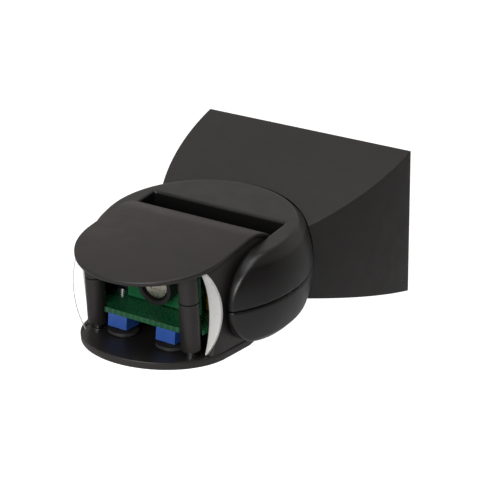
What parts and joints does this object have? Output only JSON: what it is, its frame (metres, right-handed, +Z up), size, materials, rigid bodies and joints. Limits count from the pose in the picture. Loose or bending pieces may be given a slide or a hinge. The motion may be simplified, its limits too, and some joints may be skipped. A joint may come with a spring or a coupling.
{
  "type": "motion sensor",
  "caption": "Wall-mounted motion sensor: wedge bracket with a socket, a panning yoke, and a tilting head with a curved milky lens and two adjusters.",
  "frame": {"origin": "centre of the wall face, level with the yoke's middle plane", "axes": "+Y points into the wall and the head looks along -Y; +Z is up, along the pan axis; +X is to the right of somebody who looks at the wall"},
  "size_m": [0.08, 0.1201, 0.0531],
  "materials": {
    "bracket_plastic": "matt moulded black",
    "yoke_plastic": "satin moulded black",
    "head_plastic": "fine satin moulded black",
    "inner_black": "matt",
    "rubber": "matt",
    "zinc_steel": "zinc plated",
    "sensor_can": "plated can",
    "terminal_white": "moulded nylon",
    "brass": "plated brass",
    "lead_sleeve": "sleeved supply cores",
    "milky_lens": "translucent milky",
    "board_green": "solder mask",
    "light_cell": "coated cell",
    "led_red": "clear tinted",
    "relay_blue": "moulded",
    "capacitor_yellow": "moulded",
    "pot_blue": "moulded",
    "knob_grey": "matt moulded grey"
  },
  "bodies": {
    "base": {"bracket_shell": "bracket_plastic", "wall_plate": "bracket_plastic", "wall_gasket": "rubber", "cable_grommet": "rubber", "terminal_block": "terminal_white", "terminal_screws": "brass", "plate_screws": "zinc_steel", "cable_clamp": "bracket_plastic", "clamp_screws": "zinc_steel", "base_leads": "lead_sleeve"},
    "yoke": {"yoke_upper": "yoke_plastic", "yoke_lower": "yoke_plastic", "yoke_screws": "zinc_steel", "pan_spigot": "zinc_steel", "pan_shoe": "zinc_steel", "pan_spring": "zinc_steel", "pan_nut": "zinc_steel", "yoke_leads": "lead_sleeve"},
    "head": {"head_shell": "head_plastic", "head_cover": "head_plastic", "cover_screws": "zinc_steel", "lens": "milky_lens", "lens_frame": "inner_black", "tilt_ring_left": "rubber", "tilt_ring_right": "rubber", "main_board": "board_green", "board_screws": "zinc_steel", "sensor_board": "board_green", "pir_sensor": "sensor_can", "sensor_shield": "inner_black", "light_sensor": "light_cell", "status_led": "led_red", "relay": "relay_blue", "capacitor": "capacitor_yellow", "lux_pot": "pot_blue", "time_pot": "pot_blue", "head_leads": "lead_sleeve"},
    "lux_knob": {"lux_knob": "knob_grey"},
    "time_knob": {"time_knob": "knob_grey"}
  },
  "joints": [
    {"name": "pan", "type": "hinge", "parent": "base", "child": "yoke", "pos_m": [0, -0.069, 0], "axis": [0, 0, 1], "range_deg": [-25, 25]},
    {"name": "tilt", "type": "hinge", "parent": "yoke", "child": "head", "pos_m": [0, -0.078, 0], "axis": [1, 0, 0], "range_deg": [-15, 70]},
    {"name": "lux_turn", "type": "hinge", "parent": "head", "child": "lux_knob", "pos_m": [-0.009, -0.10053, -0.01347], "axis": [0, -0.165, -0.9863], "range_deg": [-135, 135]},
    {"name": "time_turn", "type": "hinge", "parent": "head", "child": "time_knob", "pos_m": [0.009, -0.10053, -0.01347], "axis": [0, -0.165, -0.9863], "range_deg": [-135, 135]}
  ]
}
